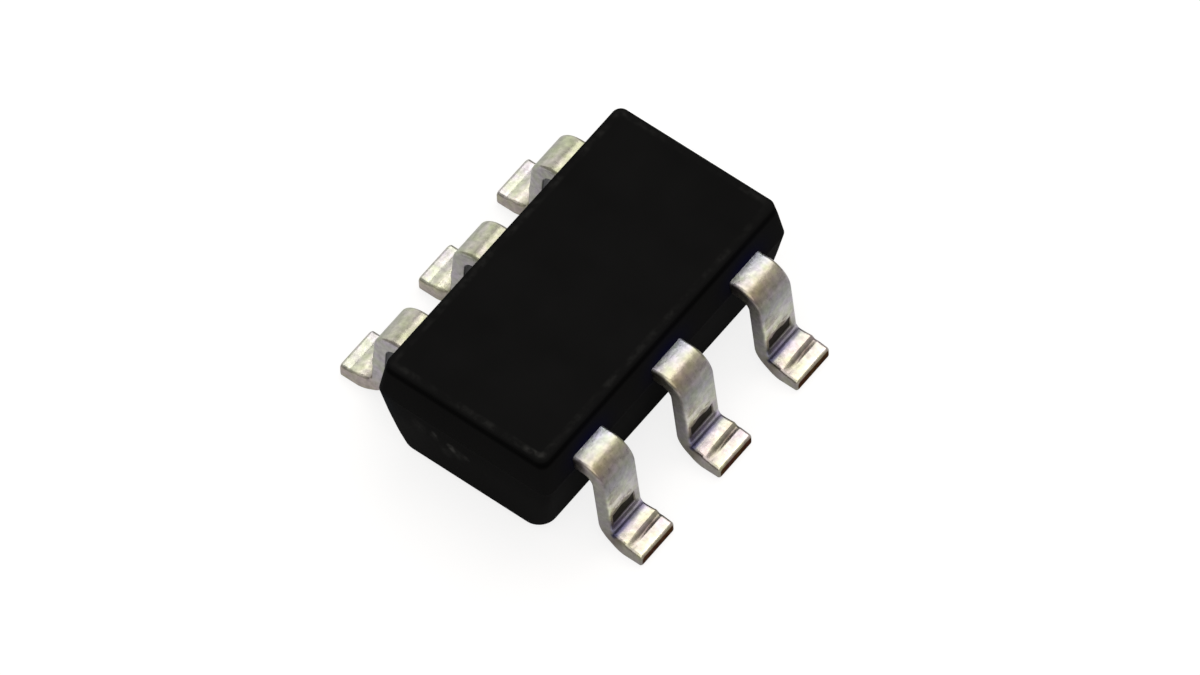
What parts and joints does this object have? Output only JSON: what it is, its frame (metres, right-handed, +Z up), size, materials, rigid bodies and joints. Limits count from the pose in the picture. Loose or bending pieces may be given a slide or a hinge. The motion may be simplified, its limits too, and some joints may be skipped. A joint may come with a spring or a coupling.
{
  "type": "step-up converter chip",
  "caption": "Small-outline voltage converter chip: a black moulded body with formed gull-wing leads along both long sides.",
  "frame": {"origin": "middle of the footprint, in the seating plane of the feet", "axes": "+X along the row of leads, +Y across the body from foot to foot, +Z up from the board"},
  "size_m": [0.003, 0.0028, 0.0011],
  "materials": {
    "epoxy": "fine matte moulded epoxy",
    "tin_plated_lead": "satin tin plating",
    "silver_adhesive": "cured silver-filled adhesive",
    "silicon": "polished silicon",
    "gold_wire": "drawn gold"
  },
  "bodies": {
    "root": {"mould_body": "epoxy", "lead_1": "tin_plated_lead", "lead_2_with_die_paddle": "tin_plated_lead", "lead_3": "tin_plated_lead", "lead_4": "tin_plated_lead", "lead_5": "tin_plated_lead", "lead_6": "tin_plated_lead", "die_attach": "silver_adhesive", "silicon_die": "silicon", "bond_wire_to_lead_1": "gold_wire", "bond_wire_to_lead_3": "gold_wire", "bond_wire_to_lead_3_second": "gold_wire", "bond_wire_to_lead_4": "gold_wire", "bond_wire_to_lead_5": "gold_wire", "bond_wire_to_lead_6": "gold_wire", "bond_wire_to_paddle": "gold_wire"}
  },
  "joints": []
}
